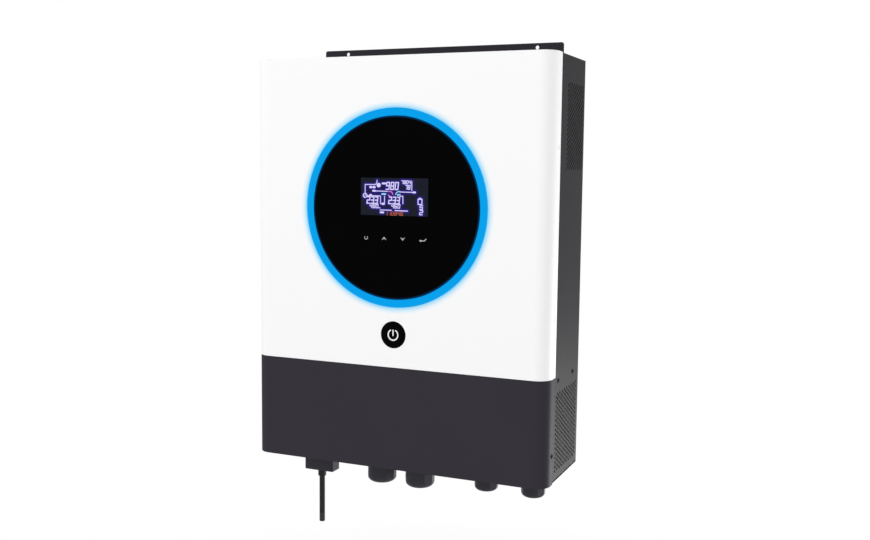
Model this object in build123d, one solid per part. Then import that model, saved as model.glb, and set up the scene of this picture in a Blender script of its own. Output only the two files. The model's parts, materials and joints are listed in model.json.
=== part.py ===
from build123d import *
import os
from math import cos, pi, radians, sin, sqrt

# Wall-hung solar inverter. Frame: origin midway between the two upper wall holes, on the wall
# plane; +X right, +Y into the wall, +Z up. Millimetres.

# ---- driving dimensions ----
case_width = 432.0
case_height = 553.0
case_depth = 147.0
corner_radius = 20.0           # the case's two vertical front corners
case_below_holes = 20.0        # the upper wall holes stand this far above the case
lower_cover_height = 140.0
cover_t = 1.5                  # front and lower cover sheet
side_t = 1.5                   # side and top panel sheet
back_t = 2.0                   # back panel and gland plate sheet
front_lip_flat = 12.6          # flat side of each cover's lip, behind the rounded corner
lower_lip_flat = 9.0
seam_gap = 0.5
lap = 12.0                     # width of every hidden lap or flange

flange_width = 368.0
flange_rise = 26.0             # above the case
flange_corner = 3.0
wall_hole_r = 2.75
wall_hole_spacing = 293.0
lower_hole_rise = 22.0         # lower wall holes, above the case bottom

screw_r = 1.45
screw_hole_r = 1.6
screw_head_r = 3.0
screw_head_h = 1.2
lip_screw_edge = 3.5           # lip screws, behind the side panel's front edge
lip_screw_length = 8.0
deck_screw_length = 7.0
front_screw_drops = (120.0, 338.4)   # below the case top
lower_screw_rise = 38.7        # above the case bottom

vent_hole_r = 2.05
vent_pitch = 6.2
upper_vent_top = 31.5          # below the case top
upper_vent_height = 117.5
upper_vent_depth = 76.0        # from the wall towards the front
lower_vent_rise = 10.0
lower_vent_height = 109.0
lower_vent_depth = 99.0
vent_from_wall = (4.0, 6.0)    # upper and lower field

ring_r = 131.5
ring_band = 9.6
ring_t = 5.8
ring_proud = 0.8
glass_t = 3.0
glass_proud = 0.3
ring_below_top = 68.0          # ring's upper edge below the case top
housing_flange = 8.0
housing_wall = 2.0
led_board_t = 1.6
led_height = 2.0
led_size = 3.5
led_count = 24
board_t = 1.6
lcd_width = 110.0
lcd_height = 62.0
lcd_rise = 15.5                # LCD centre above the display centre
key_drop = 39.5
key_pitch = 27.7
key_r = 5.0
key_board_height = 22.0
display_board_width = 150.0
display_board_height = 96.0
boss_height = 5.0
boss_r = 3.5
connector_height = 6.0
stud_r = 1.5

button_r = 15.0
button_below_ring = 37.3       # button centre under the ring's lower edge
bezel_r = 18.0
bezel_flange_r = 22.0
bezel_depth = 12.0             # from the cover's outer face to the bezel's floor
bezel_floor = 2.0
button_proud = 1.0
button_t = 7.0
button_travel = 2.5
stem_r = 3.0
stem_reach = 2.0               # past the bezel floor, into the switch
spring_r = 6.0
spring_wire_r = 0.35
spring_turns = 3
switch_size = 22.0
switch_depth = 14.0

fan_size = 80.0
fan_t = 25.0
fan_bore_r = 38.5
fan_hole_pitch = 71.5
fan_pitch = 130.0
fan_from_wall = 4.0
fan_hub_r = 17.5
fan_hub_wall = 2.0
fan_plate_t = 3.0
fan_shaft_r = 1.5
fan_blades = 7
fan_screw_r = 1.9
fan_gap = 0.5
deck_rise = 126.0              # deck's underside above the case bottom
deck_t = 1.5
deck_screw_depths = (50.8, 118.4)    # behind the front face
deck_screw_rise = 7.0          # above the deck's underside

sink_fin_length = 46.0
sink_base_t = 7.0
sink_fin_t = 2.0
sink_fins = 16
sink_gap = 8.0
plenum_height = 92.0           # free space above the heat sinks
transistor_size = (16.0, 5.0, 21.0)
transistor_pitch = 26.0
transistors_per_sink = 6
standoff_length = 11.0
standoff_r = 3.5
capacitor_r = 15.0
capacitor_length = 40.0
inductor_r = 28.0
inductor_height = 24.0
relay_size = (29.0, 24.0, 16.0)
transformer_size = (60.0, 38.0, 56.0)
control_board_width = 150.0
control_board_height = 92.0
control_standoff = 22.0
control_board_rise = 26.0      # above the power board's lower edge
control_chips = (              # x, z from the board's centre; width, height, depth
    (40.0, 0.0, 18.0, 18.0, 2.5),
    (-30.0, -8.0, 12.0, 12.0, 2.0),
    (58.0, 20.0, 10.0, 24.0, 5.0),
    (-58.0, 12.0, 14.0, 30.0, 5.0),
)
ribbon_width = 24.0
ribbon_t = 0.8
ribbon_bend_r = 5.0

ac_poles = 6
pole_pitch = 18.0
pv_poles = 4
block_height = 32.0
block_depth = 30.0
block_rise = 58.0              # bottom of the terminal blocks above the case bottom
terminal_screw_r = 3.2
battery_block_width = 34.0
battery_block_depth = 24.0
stud_terminal_r = 4.0
comm_board_width = 78.0
comm_board_depth = 26.0
comm_board_setback = 8.0       # behind the covers' skin
comm_post_h = 8.0
port_pitch = 18.0
port_widths = (15.0, 15.0, 13.0, 11.0)
port_depth = 18.0
port_height = 13.0
port_wall = 1.5
cable_r = 2.6
cable_bend_r = 12.0

gland_from_front = 70.0
gland_gap = 0.3
seal_fit = 0.15
thread_above_plate = 12.0
locknut_t = 5.0
large_gland = dict(thread_r=16.0, outer_r=21.0, drop=40.5, flange=7.0, bore_r=12.0, mouth=12.0)
small_gland = dict(thread_r=12.0, outer_r=16.5, drop=32.5, flange=6.0, bore_r=7.5, mouth=9.0)
large_gland_x = (-49.5, 10.0)
small_gland_x = (110.0, 177.5)
grip_depth = 1.0
spigot_wall = 2.0

wifi_width = 47.0
wifi_depth = 21.0
wifi_height = 40.0
wifi_x = -154.0
antenna_r = 4.1
antenna_collar_r = 6.0
antenna_collar_h = 9.0
antenna_taper_h = 2.0
antenna_length = 79.5
antenna_stub_r = 2.0
antenna_stub_h = 8.0
shaft_fit = 0.08               # radial running clearance of the fan shaft and antenna stub

clearance = 0.3                # between parts that move past each other, and behind the glass
slide_fit = 0.3

# ---- derived places ----
half_width = case_width / 2
top_z = -case_below_holes
bottom_z = top_z - case_height
front_y = -case_depth
seam_z = bottom_z + lower_cover_height
skin_back_y = front_y + cover_t
panel_x = half_width - cover_t
inner_x = panel_x - side_t
side_front_y = front_y + corner_radius + seam_gap
flat_x = half_width - corner_radius
front_lip_y = front_y + corner_radius + front_lip_flat
lower_lip_y = front_y + corner_radius + lower_lip_flat
lip_screw_y = side_front_y + lip_screw_edge
deck_bottom = bottom_z + deck_rise
deck_top = deck_bottom + deck_t
plate_top = bottom_z + back_t

display_z = top_z - ring_below_top - ring_r
ring_inner_r = ring_r - ring_band
ring_back_y = front_y - ring_proud + ring_t
glass_r = ring_inner_r - clearance
glass_back_y = front_y - glass_proud + glass_t
led_front_y = ring_back_y + clearance
led_board_y = led_front_y + led_height
floor_y = led_board_y + led_board_t
floor_back_y = floor_y + housing_wall
housing_r = ring_r + clearance + housing_wall
seat_inner_r = ring_inner_r - 4 * clearance - housing_wall
seat_outer_r = ring_inner_r + housing_wall
display_board_y = floor_back_y + boss_height
display_back_y = display_board_y + board_t

button_z = display_z - ring_r - button_below_ring
bezel_floor_y = front_y + bezel_depth
button_front_y = front_y - button_proud
button_back_y = button_front_y + button_t
switch_front_y = bezel_floor_y + bezel_floor
stem_end_y = switch_front_y + stem_reach

fan_y = -back_t - fan_from_wall - fan_size / 2
fan_top = deck_top + fan_t
fan_x = tuple(fan_pitch * step for step in (-1, 0, 1))
sink_bottom = fan_top + sink_gap
sink_top = top_z - plenum_height
sink_back_y = -back_t - sink_fin_length
sink_front_y = sink_back_y - sink_base_t
board_back_y = sink_front_y - standoff_length
board_front_y = board_back_y - board_t
board_x = inner_x - lap
board_low = sink_bottom + 2
board_high = sink_top - 2
board_mid_z = (board_low + board_high) / 2
control_back_y = board_front_y - control_standoff
control_front_y = control_back_y - board_t
control_z = board_low + control_board_rise + control_board_height / 2

gland_y = front_y + gland_from_front
wifi_y = gland_y + wifi_depth / 2
block_low = bottom_z + block_rise
block_high = block_low + block_height
cable_slot_y = fan_y - fan_size / 2 - lap - cable_r
cable_x = tuple(fan_pitch / 2 + pole_pitch * (step - 1) for step in range(3))


# ---- shape helpers ----
def block(x, y, z):
    """Box between the (low, high) pairs x, y and z."""
    size = [high - low for low, high in (x, y, z)]
    centre = [(low + high) / 2 for low, high in (x, y, z)]
    return Pos(*centre) * Box(*size)


def rod_z(x, y, radius, z):
    """Upright cylinder between z's two heights."""
    return Pos(x, y, (z[0] + z[1]) / 2) * Cylinder(radius, z[1] - z[0])


def rod_y(x, z, radius, y):
    """Cylinder along Y between y's two depths."""
    return Pos(x, (y[0] + y[1]) / 2, z) * Rot(90, 0, 0) * Cylinder(radius, y[1] - y[0])


def rod_x(y, z, radius, x):
    """Cylinder along X between x's two places."""
    return Pos((x[0] + x[1]) / 2, y, z) * Rot(0, 90, 0) * Cylinder(radius, x[1] - x[0])


def rounded_block(inset, back_y, z):
    """Block with the case's rounded front corners, set in from the outer skin by inset."""
    outline = RectangleRounded(
        2 * (half_width - inset), 2 * (case_depth - inset), corner_radius - inset
    )
    body = Pos(0, 0, z[0]) * extrude(outline, z[1] - z[0])
    return body & block((-half_width, half_width), (front_y, back_y), z)


def group(pieces):
    """Several separate solids kept in one node."""
    return Compound([solid for piece in pieces for solid in piece.solids()])


def hex_prism(x, y, flats_r, z):
    """Upright hexagonal prism; flats_r is half the width across flats."""
    outline = RegularPolygon(flats_r, 6, major_radius=False)
    return Pos(x, y, z[0]) * extrude(outline, z[1] - z[0])


def side_screws(face, y, z, length):
    """Right and left screw through the side skins from outside; face is the skin's X."""
    screw = rod_x(y, z, screw_head_r, (face, face + screw_head_h))
    screw += rod_x(y, z, screw_r, (face - length, face))
    socket = rod_x(y, z, screw_r / 2, (face + screw_head_h / 2, face + 2 * screw_head_h))
    return screw - socket, mirror(screw - socket, Plane.YZ)


# ---- case ----
front_screw_z = tuple(top_z - drop for drop in front_screw_drops)
lower_screw_z = bottom_z + lower_screw_rise
deck_screw_y = tuple(front_y + depth for depth in deck_screw_depths)
deck_screw_z = deck_bottom + deck_screw_rise


def screw_hole(y, z):
    """Clearance hole through both side skins."""
    return rod_x(y, z, screw_hole_r, (-half_width - 1, half_width + 1))


def back_panel():
    panel = block((-panel_x, panel_x), (-back_t, 0), (bottom_z, top_z))
    flange = block(
        (-flange_width / 2, flange_width / 2), (-back_t, 0), (top_z - 1, top_z + flange_rise)
    )
    top_edges = flange.edges().filter_by(Axis.Y).group_by(Axis.Z)[-1]
    panel += fillet(top_edges, flange_corner)
    for x in (-wall_hole_spacing / 2, wall_hole_spacing / 2):
        for z in (0, bottom_z + lower_hole_rise):
            panel -= rod_y(x, z, wall_hole_r, (-back_t - 1, 1))
    return panel


def lapped_sheet(outer_z, thickness, lip_y, inward):
    """Top or bottom sheet with a lap under the cover's lip and a flange inside each side."""
    sheet_z = sorted((outer_z, outer_z + inward * thickness))
    lap_z = sorted((outer_z + inward * cover_t, outer_z + inward * (cover_t + thickness)))
    flange_z = sorted((outer_z, outer_z + inward * lap))
    sheet = block((-panel_x, panel_x), (lip_y + seam_gap, -back_t), sheet_z)
    sheet += block((-flat_x, flat_x), (lip_y - lap, lip_y + lap), lap_z)
    for low in (-inner_x, inner_x - thickness):
        sheet += block((low, low + thickness), (lip_y + lap, -back_t - lap), flange_z)
    return sheet


def top_panel():
    return lapped_sheet(top_z, side_t, front_lip_y, -1)


def gland_plate():
    plate = lapped_sheet(bottom_z, back_t, lower_lip_y, 1)
    reach = (bottom_z - 1, plate_top + 1)
    for gland, places in ((large_gland, large_gland_x), (small_gland, small_gland_x)):
        for x in places:
            plate -= rod_z(x, gland_y, gland["thread_r"] + seal_fit, reach)
    return plate - wifi_plug(clearance, reach)


def vent_holes(y, z):
    """Staggered upright columns of round holes that fill the field between y and z."""
    column_step = vent_pitch * sqrt(3) / 2
    columns = int((y[1] - y[0] - 2 * vent_hole_r) / column_step) + 1
    rows = int((z[1] - z[0] - 2 * vent_hole_r - vent_pitch / 2) / vent_pitch) + 1
    first_y = (y[0] + y[1] - (columns - 1) * column_step) / 2
    first_z = (z[0] + z[1] - (rows - 0.5) * vent_pitch) / 2
    for column in range(columns):
        for row in range(rows):
            shift = vent_pitch / 2 if column % 2 else 0
            yield first_y + column * column_step, first_z + row * vent_pitch + shift


def side_panel(side):
    y = (side_front_y, -back_t)
    z = (plate_top, top_z - side_t)
    x = inner_x if side > 0 else -panel_x
    upper_top = top_z - upper_vent_top
    upper_y, lower_y = (-near - back_t for near in vent_from_wall)
    holes = [
        *vent_holes((upper_y - upper_vent_depth, upper_y), (upper_top - upper_vent_height, upper_top)),
        *vent_holes(
            (lower_y - lower_vent_depth, lower_y),
            (bottom_z + lower_vent_rise, bottom_z + lower_vent_rise + lower_vent_height),
        ),
    ]
    corners = ((y[0], z[0]), (y[1], z[0]), (y[1], z[1]), (y[0], z[1]))
    outline = Wire.make_polygon([(x, *corner) for corner in corners])
    screws = [(lip_screw_y, height) for height in (*front_screw_z, lower_screw_z)]
    screws += [(depth, deck_screw_z) for depth in deck_screw_y]
    circles = [(place, vent_hole_r) for place in holes] + [(place, screw_hole_r) for place in screws]
    rims = [
        Wire.make_circle(radius, Plane(origin=(x, place[0], place[1]), z_dir=(1, 0, 0)))
        for place, radius in circles
    ]
    return extrude(Face(outline, rims), side_t, dir=(1, 0, 0))


def front_cover():
    z = (seam_z + seam_gap / 2, top_z)
    shell = rounded_block(0, front_lip_y, z)
    shell -= rounded_block(cover_t, front_lip_y, (z[0], top_z - cover_t))
    reach = (front_y - 1, skin_back_y + 1)
    shell -= rod_y(0, display_z, ring_r + clearance, reach)
    shell -= rod_y(0, button_z, bezel_r + clearance, reach)
    for height in front_screw_z:
        shell -= screw_hole(lip_screw_y, height)
    for x, height in display_studs():
        shell += rod_y(x, height, stud_r, (skin_back_y, skin_back_y + lap / 2))
    return shell


def lower_cover():
    z = (bottom_z, seam_z - seam_gap / 2)
    shell = rounded_block(0, lower_lip_y, z)
    shell -= rounded_block(cover_t, lower_lip_y, (bottom_z + cover_t, z[1]))
    return shell - screw_hole(lip_screw_y, lower_screw_z)


def divider_deck():
    deck = rounded_block(cover_t + side_t, -back_t, (deck_bottom, deck_top))
    deck += block((-flat_x, flat_x), (skin_back_y, front_y + cover_t + side_t), (deck_bottom, seam_z + lap))
    for low in (-inner_x, inner_x - deck_t):
        deck += block((low, low + deck_t), (side_front_y, -back_t - lap), (deck_bottom, deck_bottom + lap))
    for y in deck_screw_y:
        deck -= screw_hole(y, deck_screw_z)
    reach = (deck_bottom - 1, deck_top + 1)
    for x in fan_x:
        deck -= rod_z(x, fan_y, fan_bore_r - 1, reach)
        for hole_x, hole_y in fan_corners(x):
            deck -= rod_z(hole_x, hole_y, fan_screw_r + clearance, reach)
    slot_half = pole_pitch + cable_r + 3
    for centre in (-fan_pitch / 2, fan_pitch / 2):
        deck -= block(
            (centre - slot_half, centre + slot_half),
            (cable_slot_y - cable_r - 3, cable_slot_y + cable_r + 3),
            reach,
        )
    return deck


def front_cover_screws():
    screws = []
    for height in front_screw_z:
        screws += side_screws(half_width, lip_screw_y, height, lip_screw_length)
    return group(screws)


def lower_cover_screws():
    return group(side_screws(half_width, lip_screw_y, lower_screw_z, lip_screw_length))


def deck_screws():
    screws = []
    for y in deck_screw_y:
        screws += side_screws(panel_x, y, deck_screw_z, deck_screw_length)
    return group(screws)


# ---- round display ----
stud_circle_r = housing_r + housing_flange / 2


def display_studs(count=6):
    """Places (x, z) of the weld studs that hold the display housing."""
    for step in range(count):
        angle = pi / 6 + 2 * pi * step / count
        yield stud_circle_r * cos(angle), display_z + stud_circle_r * sin(angle)


def tube_y(radius, bore_r, y, centre_z=None):
    """Ring along Y on the display's axis, or at another height."""
    z = display_z if centre_z is None else centre_z
    return rod_y(0, z, radius, y) - rod_y(0, z, bore_r, (y[0] - 1, y[1] + 1))


def light_ring():
    ring = tube_y(ring_r, ring_inner_r, (front_y - ring_proud, ring_back_y))
    rims = ring.edges().filter_by(GeomType.CIRCLE).group_by(Axis.Y)[0]
    return fillet(rims, ring_proud / 2)


def display_glass():
    glass = rod_y(0, display_z, glass_r, (front_y - glass_proud, glass_back_y))
    return fillet(glass.edges().filter_by(GeomType.CIRCLE).group_by(Axis.Y)[0], glass_proud / 2)


def display_board_corners():
    for x in (-1, 1):
        for z in (-1, 1):
            yield (
                x * (display_board_width / 2 - 2 * boss_r),
                display_z + z * (display_board_height / 2 - 2 * boss_r),
            )


def display_housing():
    housing = rod_y(0, display_z, housing_r, (floor_y, floor_back_y))
    housing += tube_y(housing_r, housing_r - housing_wall, (skin_back_y, floor_y))
    housing += tube_y(housing_r + housing_flange, housing_r - 1, (skin_back_y, skin_back_y + housing_wall))
    housing += tube_y(seat_outer_r, seat_inner_r, (ring_back_y, floor_y))
    housing += tube_y(glass_r, seat_inner_r, (glass_back_y, floor_y))
    for x, z in display_studs():
        housing -= rod_y(x, z, stud_r + clearance, (skin_back_y - 1, floor_back_y + 1))
    for x, z in display_board_corners():
        housing += rod_y(x, z, boss_r, (floor_back_y, display_board_y))
        housing -= rod_y(x, z, screw_hole_r, (floor_back_y, display_board_y + 1))
    window = block(
        (-ribbon_width / 2 - 2, ribbon_width / 2 + 2),
        (floor_y - 1, floor_back_y + 1),
        (display_z - 2 * boss_r, display_z + lcd_rise - lcd_height / 4),
    )
    return housing - window


def led_board():
    bore_r = seat_outer_r + clearance
    board_r = housing_r - housing_wall - clearance
    board = tube_y(board_r, bore_r, (led_board_y, floor_y))
    centre_r = (board_r + bore_r) / 2
    leds = []
    for step in range(led_count):
        led = block(
            (centre_r - led_size / 2, centre_r + led_size / 2),
            (led_front_y, led_board_y),
            (-led_size / 2, led_size / 2),
        )
        leds.append(Pos(0, 0, display_z) * Rot(0, 360 * step / led_count, 0) * led)
    return group([board, *leds])


def lcd_module():
    z = display_z + lcd_rise
    frame = block(
        (-lcd_width / 2, lcd_width / 2),
        (glass_back_y + clearance, floor_y),
        (z - lcd_height / 2, z + lcd_height / 2),
    )
    return fillet(frame.edges().filter_by(Axis.Y), 2)


def key_board():
    """Touch key board: four sprung pads that reach to just behind the glass."""
    z = display_z - key_drop
    half = 1.5 * key_pitch + key_r + 4
    board = block((-half, half), (floor_y - board_t, floor_y), (z - key_board_height / 2, z + key_board_height / 2))
    pads = [
        rod_y((step - 1.5) * key_pitch, z, key_r, (glass_back_y + clearance, floor_y - board_t))
        for step in range(4)
    ]
    return group([board, *pads])


def display_board():
    half_x, half_z = display_board_width / 2, display_board_height / 2
    board = block((-half_x, half_x), (display_board_y, display_back_y), (display_z - half_z, display_z + half_z))
    for x, z in display_board_corners():
        board -= rod_y(x, z, screw_hole_r, (display_board_y - 1, display_back_y + 1))
    parts = [board]
    for width, low in ((ribbon_width + 4, -half_z + 2), (30, 10)):
        parts.append(
            block(
                (-width / 2, width / 2),
                (display_back_y, display_back_y + connector_height),
                (display_z + low, display_z + low + 9),
            )
        )
    parts.append(block((-50, -30), (display_back_y, display_back_y + 2), (display_z - 10, display_z + 10)))
    return group(parts)


def display_fasteners():
    """Nuts on the cover's studs and screws that hold the display board."""
    nut_y = (skin_back_y + housing_wall, skin_back_y + housing_wall + 2.4)
    pieces = []
    for x, z in display_studs():
        nut = extrude(RegularPolygon(2.75, 6, major_radius=False), nut_y[1] - nut_y[0])
        nut = Pos(x, nut_y[1], z) * Rot(90, 0, 0) * nut
        pieces.append(nut - rod_y(x, z, stud_r + 0.1, (nut_y[0] - 1, nut_y[1] + 1)))
    for x, z in display_board_corners():
        head = rod_y(x, z, screw_head_r, (display_back_y, display_back_y + 2))
        pieces.append(head + rod_y(x, z, screw_r, (floor_back_y + 0.5, display_back_y)))
    return group(pieces)


def display_ribbon():
    """Flat cable from the display board down to the control board's connector."""
    start_z = display_z - display_board_height / 2 + 2
    end_z = control_z + control_board_height / 2 - 6
    start_y = display_back_y + connector_height / 2
    end_y = control_front_y - connector_height / 2
    bend_z = (start_z + end_z) / 2
    path = FilletPolyline(
        (0, start_y, start_z), (0, start_y, bend_z), (0, end_y, bend_z), (0, end_y, end_z),
        radius=min(ribbon_bend_r, abs(end_y - start_y) / 2.5),
    )
    section = Plane(origin=(0, start_y, start_z), z_dir=(0, 0, -1)) * Rectangle(ribbon_width, ribbon_t)
    return sweep(section, path=path)


# ---- power button ----
def power_button():
    cap = rod_y(0, button_z, button_r, (button_front_y, button_back_y))
    cap = fillet(cap.edges().filter_by(GeomType.CIRCLE).group_by(Axis.Y)[0], 0.8)
    stem = rod_y(0, button_z, stem_r, (button_back_y, stem_end_y))
    groove = tube_y(button_r + 1, button_r - 0.6, (button_back_y - 2, button_back_y - 1), button_z)
    return cap + stem - groove


def button_bezel():
    bezel = rod_y(0, button_z, bezel_r, (front_y - button_proud / 2, switch_front_y))
    bezel += rod_y(0, button_z, bezel_flange_r, (skin_back_y, skin_back_y + housing_wall))
    bezel -= rod_y(0, button_z, button_r + slide_fit, (front_y - 2, bezel_floor_y))
    return bezel - rod_y(0, button_z, stem_r + slide_fit, (bezel_floor_y - 1, switch_front_y + 1))


def button_spring():
    gap = bezel_floor_y - button_back_y
    height = gap - 2 * clearance - 2 * spring_wire_r
    start = button_back_y + clearance + spring_wire_r
    helix = Helix(height / spring_turns, height, spring_r)
    wire = Plane(origin=helix @ 0, z_dir=helix % 0) * Circle(spring_wire_r)
    coil = sweep(wire, path=helix, is_frenet=True)
    return Pos(0, start, button_z) * Rot(-90, 0, 0) * coil


def power_switch():
    half = switch_size / 2
    back_y = switch_front_y + switch_depth
    body = block((-half, half), (switch_front_y, back_y), (button_z - half, button_z + half))
    body = fillet(body.edges().filter_by(Axis.Y), 1.5)
    pocket = stem_reach + button_travel + 2
    body -= rod_y(0, button_z, stem_r + slide_fit, (switch_front_y - 1, switch_front_y + pocket))
    for x in (-half / 2, half / 2):
        body += block((x - 2, x + 2), (back_y, back_y + 6), (button_z - 0.4, button_z + 0.4))
    return body


# ---- fans ----
def fan_corners(x):
    half = fan_hole_pitch / 2
    for step_x in (-half, half):
        for step_y in (-half, half):
            yield x + step_x, fan_y + step_y


def fan_frame(x):
    """Square frame with a hub plate on four struts and the bearing tube for the rotor."""
    outline = Pos(x, fan_y, deck_top) * extrude(RectangleRounded(fan_size, fan_size, 4), fan_t)
    reach = (deck_top - 1, fan_top + 1)
    frame = outline - rod_z(x, fan_y, fan_bore_r, reach)
    plate_z = (deck_top, deck_top + fan_plate_t)
    frame += rod_z(x, fan_y, fan_hub_r, plate_z)
    strut = Box(2 * fan_bore_r + 1, 3, fan_plate_t)
    for angle in (45, 135):
        frame += Pos(x, fan_y, sum(plate_z) / 2) * Rot(0, 0, angle) * strut
    tube_r = fan_hub_r - 3 * fan_hub_wall - 4
    frame += rod_z(x, fan_y, tube_r, (deck_top, fan_top - fan_t / 4))
    frame -= rod_z(x, fan_y, fan_shaft_r + shaft_fit, (plate_z[1], fan_top))
    for hole_x, hole_y in fan_corners(x):
        frame -= rod_z(hole_x, hole_y, fan_screw_r + clearance, reach)
    return frame


def fan_rotor(x):
    """Hub cup with its shaft and swept blades."""
    low = deck_top + fan_plate_t + fan_gap
    high = fan_top - 1
    hub = rod_z(x, fan_y, fan_hub_r, (low, high))
    hub -= rod_z(x, fan_y, fan_hub_r - fan_hub_wall, (low - 1, high - fan_hub_wall))
    hub += rod_z(x, fan_y, fan_shaft_r, (low, high - 1))
    length = fan_bore_r - 1 - fan_hub_r + 1.5
    blade = Pos(fan_hub_r - 1 + length / 2, 0, 0) * Rot(38, 0, 0) * Box(length, 24, 1.4)
    space = rod_z(0, 0, fan_bore_r - 0.8, (-(high - low) / 2 + 1, (high - low) / 2 - 1))
    blade = blade & space
    for step in range(fan_blades):
        hub += Pos(x, fan_y, (low + high) / 2) * Rot(0, 0, 360 * step / fan_blades) * blade
    return hub


def fan_screws():
    screws = []
    for centre in fan_x:
        for x, y in fan_corners(centre):
            head = rod_z(x, y, screw_head_r + 0.5, (deck_bottom - 2, deck_bottom))
            screws.append(head + rod_z(x, y, fan_screw_r, (deck_bottom, deck_top + 12)))
    return group(screws)


# ---- power stack ----
def sink_span(side):
    """Low and high X of one heat sink."""
    low, high = clearance + 4, inner_x - 4
    return (low, high) if side > 0 else (-high, -low)


def heat_sink(side):
    x = sink_span(side)
    sink = block(x, (sink_back_y - sink_base_t, sink_back_y), (sink_bottom, sink_top))
    pitch = (x[1] - x[0] - sink_fin_t) / (sink_fins - 1)
    for step in range(sink_fins):
        low = x[0] + step * pitch
        sink += block((low, low + sink_fin_t), (sink_back_y, -back_t), (sink_bottom, sink_top))
    return sink


def power_transistors():
    """Flat power transistors on the heat sinks, legs bent forward to the power board."""
    wide, thick, tall = transistor_size
    z = (board_mid_z - tall / 2, board_mid_z + tall / 2)
    pieces = []
    for side in (-1, 1):
        centre = sum(sink_span(side)) / 2
        for step in range(transistors_per_sink):
            x = centre + (step - (transistors_per_sink - 1) / 2) * transistor_pitch
            body = block((x - wide / 2, x + wide / 2), (sink_front_y - thick, sink_front_y), z)
            for leg in (-5.4, 0, 5.4):
                body += block(
                    (x + leg - 0.6, x + leg + 0.6), (board_back_y, sink_front_y - 1), (z[0] - 1.2, z[0])
                )
            pieces.append(body)
    return group(pieces)


def standoff_places():
    for x in (-board_x + 7, -14, 14, board_x - 7):
        for z in (board_low + 7, board_high - 7):
            yield x, z


def control_places():
    for x in (-1, 1):
        for z in (-1, 1):
            yield (
                x * (control_board_width / 2 - 6),
                control_z + z * (control_board_height / 2 - 6),
            )


def power_board():
    board = block((-board_x, board_x), (board_front_y, board_back_y), (board_low, board_high))
    for x, z in (*standoff_places(), *control_places()):
        board -= rod_y(x, z, screw_hole_r, (board_front_y - 1, board_back_y + 1))
    return board


def hex_post(x, z, y):
    post = extrude(RegularPolygon(standoff_r, 6, major_radius=False), y[1] - y[0])
    return Pos(x, y[1], z) * Rot(90, 0, 0) * post


def board_standoffs():
    posts = [hex_post(x, z, (board_back_y, sink_front_y)) for x, z in standoff_places()]
    posts += [hex_post(x, z, (control_back_y, board_front_y)) for x, z in control_places()]
    return group(posts)


def board_screws():
    screws = [
        rod_y(x, z, screw_head_r, (board_front_y - 2, board_front_y)) for x, z in standoff_places()
    ]
    screws += [
        rod_y(x, z, screw_head_r, (control_front_y - 2, control_front_y)) for x, z in control_places()
    ]
    return group(screws)


def control_board():
    half_x, half_z = control_board_width / 2, control_board_height / 2
    board = block(
        (-half_x, half_x), (control_front_y, control_back_y), (control_z - half_z, control_z + half_z)
    )
    for x, z in control_places():
        board -= rod_y(x, z, screw_hole_r, (control_front_y - 1, control_back_y + 1))
    connector = (0, half_z - 12, ribbon_width + 4, 8, connector_height)
    parts = [board]
    for x, z, wide, tall, deep in (connector, *control_chips):
        parts.append(
            block(
                (x - wide / 2, x + wide / 2),
                (control_front_y - deep, control_front_y),
                (control_z + z - tall / 2, control_z + z + tall / 2),
            )
        )
    return group(parts)


def on_board(x, z, size):
    """Box standing on the power board's front; size is width, depth, height."""
    wide, deep, tall = size
    return block(
        (x - wide / 2, x + wide / 2), (board_front_y - deep, board_front_y), (z - tall / 2, z + tall / 2)
    )


def bus_capacitors():
    pieces = []
    for column in range(4):
        for row in range(2):
            x = -board_x + 2 * capacitor_r + column * (2 * capacitor_r + 4)
            z = board_high - 2.6 * capacitor_r - row * (2 * capacitor_r + 5)
            can = rod_y(x, z, capacitor_r, (board_front_y - capacitor_length, board_front_y))
            end = can.edges().filter_by(GeomType.CIRCLE).group_by(Axis.Y)[0]
            pieces.append(fillet(end, 1.5))
    return group(pieces)


def inductor_places():
    near, far = board_x - 40, board_x - 44 - 2 * inductor_r
    return (near, board_high - 46), (far, board_high - 46), (near, board_high - 50 - 2 * inductor_r)


def inductors():
    """Wound toroids lying on the power board."""
    pieces = []
    for x, z in inductor_places():
        ring = rod_y(x, z, inductor_r, (board_front_y - inductor_height, board_front_y))
        rims = ring.edges().filter_by(GeomType.CIRCLE).group_by(Axis.Y)[0]
        ring = fillet(rims, 6)
        pieces.append(ring - rod_y(x, z, inductor_r / 3, (board_front_y - inductor_height - 1, board_front_y + 1)))
    return group(pieces)


def transformer():
    """Ferrite core with its bobbin and winding in the middle."""
    wide, deep, tall = transformer_size
    z = board_high - 24 - tall / 2
    core = on_board(0, z, (wide, deep * 0.7, tall * 0.5))
    return core + on_board(0, z, (wide * 0.6, deep, tall))


def relays():
    cases = []
    for x in (board_x - 30, board_x - 70):
        for z in (board_low + 44, board_low + 72):
            for side in (-1, 1):
                case = on_board(side * x, z, relay_size)
                cases.append(fillet(case.edges().group_by(Axis.Y)[0], 1))
    return group(cases)


# ---- wiring compartment ----
block_y = (-back_t - block_depth, -back_t)
ac_x = fan_pitch / 2
pv_x = -fan_pitch / 2


def barrier_block(centre_x, poles):
    """Screw terminal block: a pocket for each pole, between barriers."""
    half = poles * pole_pitch / 2
    body = block((centre_x - half - 2, centre_x + half + 2), block_y, (block_low, block_high))
    for pole in range(poles):
        x = centre_x + (pole - (poles - 1) / 2) * pole_pitch
        body -= block(
            (x - pole_pitch / 2 + 1.5, x + pole_pitch / 2 - 1.5),
            (block_y[0] - 1, block_y[0] + block_depth / 2),
            (block_low + 4, block_high - 4),
        )
    return body


def ac_terminal_block():
    return barrier_block(ac_x, ac_poles)


def pv_terminal_block():
    return barrier_block(pv_x, pv_poles)


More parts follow.
